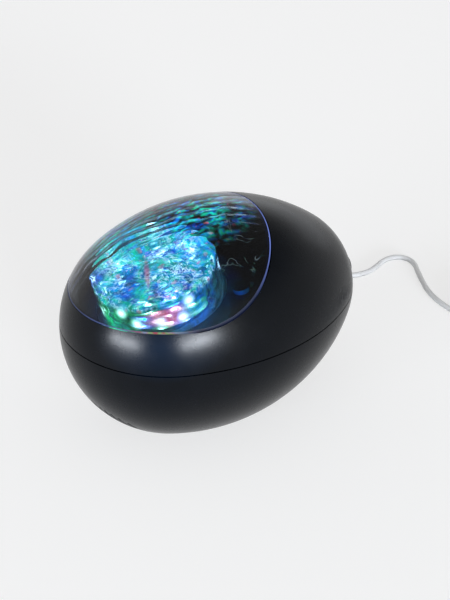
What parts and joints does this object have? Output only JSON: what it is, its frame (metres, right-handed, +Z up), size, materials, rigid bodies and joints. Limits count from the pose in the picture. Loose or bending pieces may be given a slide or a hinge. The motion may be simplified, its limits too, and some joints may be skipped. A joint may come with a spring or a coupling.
{
  "type": "ocean wave projector",
  "caption": "Egg-shaped night light that throws moving water ripples through a clear dome from a turning lens over coloured lamps, with a loudspeaker, push buttons and a USB cord.",
  "frame": {"origin": "on the floor under the middle of the egg, the cord and what is on it left out", "axes": "+Y to the nose with the buttons and the cord, -Y to the fat end with the dome and the grille, +Z up"},
  "size_m": [0.1443, 0.2837, 0.1077],
  "materials": {
    "case_black": "satin",
    "button_black": "matte",
    "clear_dome": "clear gloss",
    "clear_lens": "clear gloss",
    "foam": "matte",
    "foot_rubber": "matte",
    "deck_black": "satin",
    "chassis_grey": "matte",
    "gear_ivory": "satin",
    "steel": "bright",
    "gearbox_grey": "satin",
    "board_green": "satin",
    "lamp_red": "lit",
    "lamp_green": "lit",
    "lamp_blue": "lit",
    "lamp_white": "lit",
    "speaker_black": "matte",
    "cone_paper": "matte",
    "chip_black": "matte",
    "capacitor_grey": "satin",
    "cord_white": "satin",
    "plug_white": "satin"
  },
  "bodies": {
    "case": {"lower_shell": "case_black", "upper_shell": "case_black", "dome_cover": "clear_dome", "dome_gasket": "foam", "rubber_feet": "foot_rubber", "light_deck": "deck_black", "chassis": "chassis_grey", "gearbox": "gearbox_grey", "motor_can": "steel", "motor_screws": "steel", "light_board": "board_green", "red_lamps": "lamp_red", "green_lamps": "lamp_green", "blue_lamps": "lamp_blue", "white_lamp": "lamp_white", "speaker_frame": "speaker_black", "speaker_cone": "cone_paper", "speaker_magnet": "steel", "speaker_screws": "steel", "main_board": "board_green", "control_chip": "chip_black", "capacitors": "capacitor_grey", "cord_socket": "gear_ivory", "button_board": "board_green", "tact_switches": "chip_black", "case_screws": "steel", "frame_screws": "steel", "board_screws": "steel", "strain_relief": "plug_white", "usb_cord": "cord_white", "usb_cord_coil": "cord_white", "cable_tie": "plug_white", "usb_plug_body": "plug_white", "usb_plug_shell": "steel"},
    "wave_turntable": {"wave_lens": "clear_lens", "lens_carrier": "gear_ivory", "lens_screws": "steel"},
    "motor_drive": {"drive_pinion": "gear_ivory", "motor_shaft": "steel"},
    "power_key": {"power_button": "button_black"},
    "colour_key": {"colour_button": "button_black"},
    "sound_key": {"sound_button": "button_black"}
  },
  "joints": [
    {"name": "lens_spin", "type": "hinge", "parent": "case", "child": "wave_turntable", "pos_m": [0, -0.0278, 0.0662], "axis": [0, -0.2419, 0.9703], "continuous": true},
    {"name": "pinion_spin", "type": "hinge", "parent": "case", "child": "motor_drive", "pos_m": [0, 0.01441, 0.07672], "axis": [0, -0.2419, 0.9703], "continuous": true},
    {"name": "power_press", "type": "slide", "parent": "case", "child": "power_key", "axis": [0, -1, 0], "range_m": [0, 0.0008], "stiffness_N_per_m": 600},
    {"name": "colour_press", "type": "slide", "parent": "case", "child": "colour_key", "axis": [0, -1, 0], "range_m": [0, 0.0008], "stiffness_N_per_m": 600},
    {"name": "sound_press", "type": "slide", "parent": "case", "child": "sound_key", "axis": [0, -1, 0], "range_m": [0, 0.0008], "stiffness_N_per_m": 600}
  ],
  "couplings": [
    {"joint": "pinion_spin", "follows": "lens_spin", "ratio": -3.8333}
  ]
}
